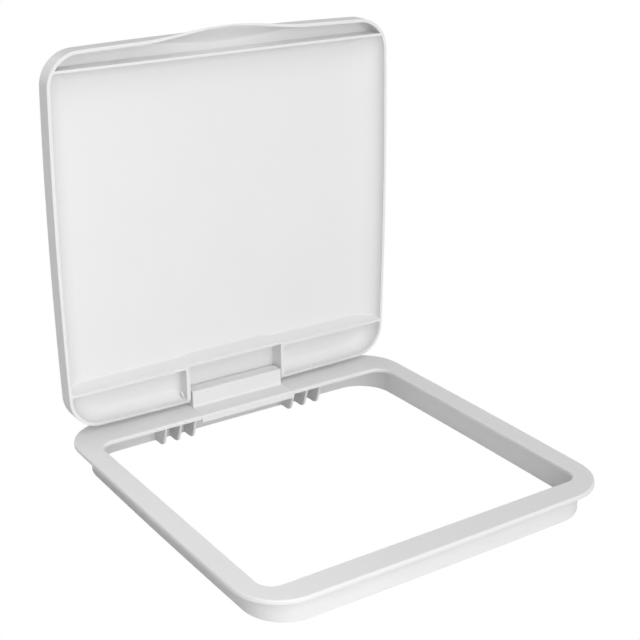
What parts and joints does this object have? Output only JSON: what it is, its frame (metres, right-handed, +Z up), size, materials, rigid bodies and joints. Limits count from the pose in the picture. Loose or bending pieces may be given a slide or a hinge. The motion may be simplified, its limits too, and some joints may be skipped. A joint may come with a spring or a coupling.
{
  "type": "deck hatch",
  "caption": "Square white plastic deck hatch: flanged frame with a coaming, and a shallow tray lid on a pin hinge, standing open at a right angle.",
  "frame": {"origin": "middle of the whole part's outline, at the level of the coaming's bottom edge", "axes": "+X to the right along the hinge, +Y from the finger lip side towards the hinge, +Z up out of the deck"},
  "size_m": [0.378, 0.378, 0.4079],
  "materials": {
    "white_plastic": "satin moulded white plastic",
    "pin_plastic": "smooth white plastic",
    "screw_steel": "stainless steel"
  },
  "bodies": {
    "base": {"frame": "white_plastic", "hinge_block": "white_plastic", "hinge_block_screw_1": "screw_steel", "hinge_block_screw_2": "screw_steel", "hinge_block_screw_3": "screw_steel", "hinge_block_screw_4": "screw_steel"},
    "lid": {"lid": "white_plastic", "hinge_pin_left": "pin_plastic", "hinge_pin_right": "pin_plastic"}
  },
  "joints": [
    {"name": "lid_hinge", "type": "hinge", "parent": "base", "child": "lid", "pos_m": [0, 0.1762, 0.0406], "axis": [1, 0, 0], "range_deg": [0, 90]}
  ]
}
